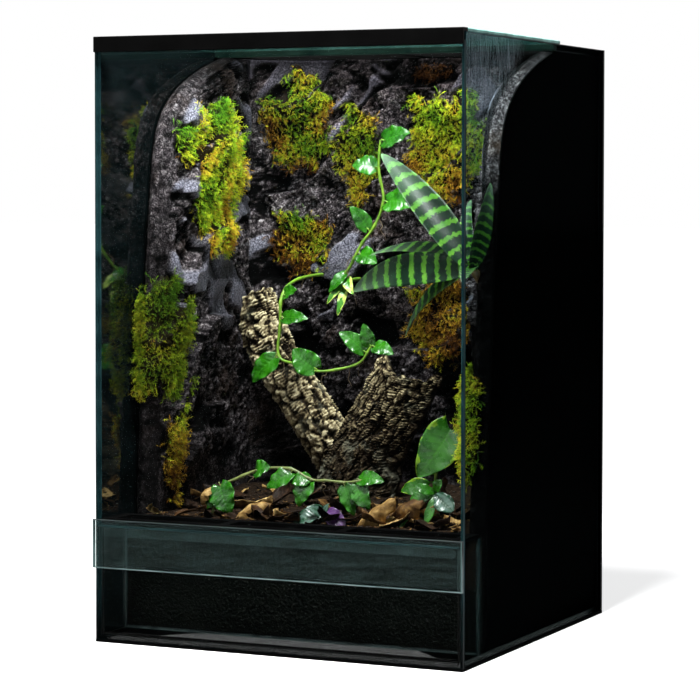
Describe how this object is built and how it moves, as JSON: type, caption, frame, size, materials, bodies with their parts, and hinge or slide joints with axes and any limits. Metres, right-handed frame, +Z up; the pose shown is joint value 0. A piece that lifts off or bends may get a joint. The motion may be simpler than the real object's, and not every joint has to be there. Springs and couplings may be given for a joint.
{
  "type": "planted glass terrarium",
  "caption": "Tall planted glass terrarium with lift-out front pane, clear front apron, lid pane, vents, front chamber and rock liner with moss, bark and vines.",
  "frame": {"origin": "under the centre of the whole object, at the level it stands on", "axes": "+X to the right seen from the front, +Y to the back, +Z up"},
  "size_m": [0.4526, 0.453, 0.684],
  "materials": {
    "clear_glass": "polished",
    "glass_with_black_back": "gloss",
    "black_silicone": "satin",
    "clear_silicone": "satin",
    "clear_apron": "gloss",
    "black_profile": "satin",
    "vent_screen": "satin",
    "foam_mat": "matte",
    "rock_liner": "matte",
    "drainage_foam": "matte",
    "drainage_sheet": "matte",
    "soil": "matte",
    "dry_leaves": "matte",
    "cork_bark": "matte",
    "bromeliad_leaf": "satin",
    "vine_leaf": "satin",
    "silver_leaf": "satin",
    "moss": "matte",
    "drain_plastic": "satin",
    "drain_rubber": "matte"
  },
  "bodies": {
    "enclosure": {"base_mat": "foam_mat", "bottom_pane": "clear_glass", "lower_front_pane": "clear_glass", "back_pane": "glass_with_black_back", "left_pane": "glass_with_black_back", "right_pane": "clear_glass", "corner_seals": "black_silicone", "front_apron": "clear_apron", "apron_bond": "clear_silicone", "top_rail": "black_profile", "lid_support_strip": "clear_glass", "rear_vent_frame": "black_profile", "rear_vent_screen": "vent_screen", "front_vent_frame": "black_profile", "front_vent_screen": "vent_screen", "partition_pane": "clear_glass", "partition_seals": "clear_silicone", "background_back": "rock_liner", "background_left": "rock_liner", "background_right": "rock_liner", "drainage_layer": "drainage_foam", "drainage_sheet": "drainage_sheet", "substrate": "soil", "leaf_litter": "dry_leaves", "cork_left_limb": "cork_bark", "cork_right_slab": "cork_bark", "striped_bromeliad": "bromeliad_leaf", "upper_vine": "vine_leaf", "middle_vine": "vine_leaf", "ground_vine": "vine_leaf", "broad_leaf_plant": "vine_leaf", "silver_leaf_plant": "silver_leaf", "small_leaf_plant": "vine_leaf", "drain_fitting": "drain_plastic", "drain_washer": "drain_rubber", "drain_nut": "drain_plastic", "moss_upper_left": "moss", "moss_top_centre": "moss", "moss_upper_centre": "moss", "moss_centre_low": "moss", "moss_top_right": "moss", "moss_small_top": "moss", "moss_mid_right": "moss", "moss_lower_left": "moss", "moss_left_tail": "moss", "moss_lower_right": "moss"},
    "door": {"door_pane": "clear_glass"},
    "lid": {"lid_pane": "clear_glass"},
    "bung": {"drain_bung": "drain_rubber"}
  },
  "joints": [
    {"name": "door_lift", "type": "slide", "parent": "enclosure", "child": "door", "axis": [0, 0, 1], "range_m": [0, 0.009]},
    {"name": "lid_lift", "type": "slide", "parent": "enclosure", "child": "lid", "axis": [0, 0, 1], "range_m": [0, 0.06]},
    {"name": "bung_pull", "type": "slide", "parent": "enclosure", "child": "bung", "axis": [0, 1, 0], "range_m": [0, 0.024]}
  ]
}
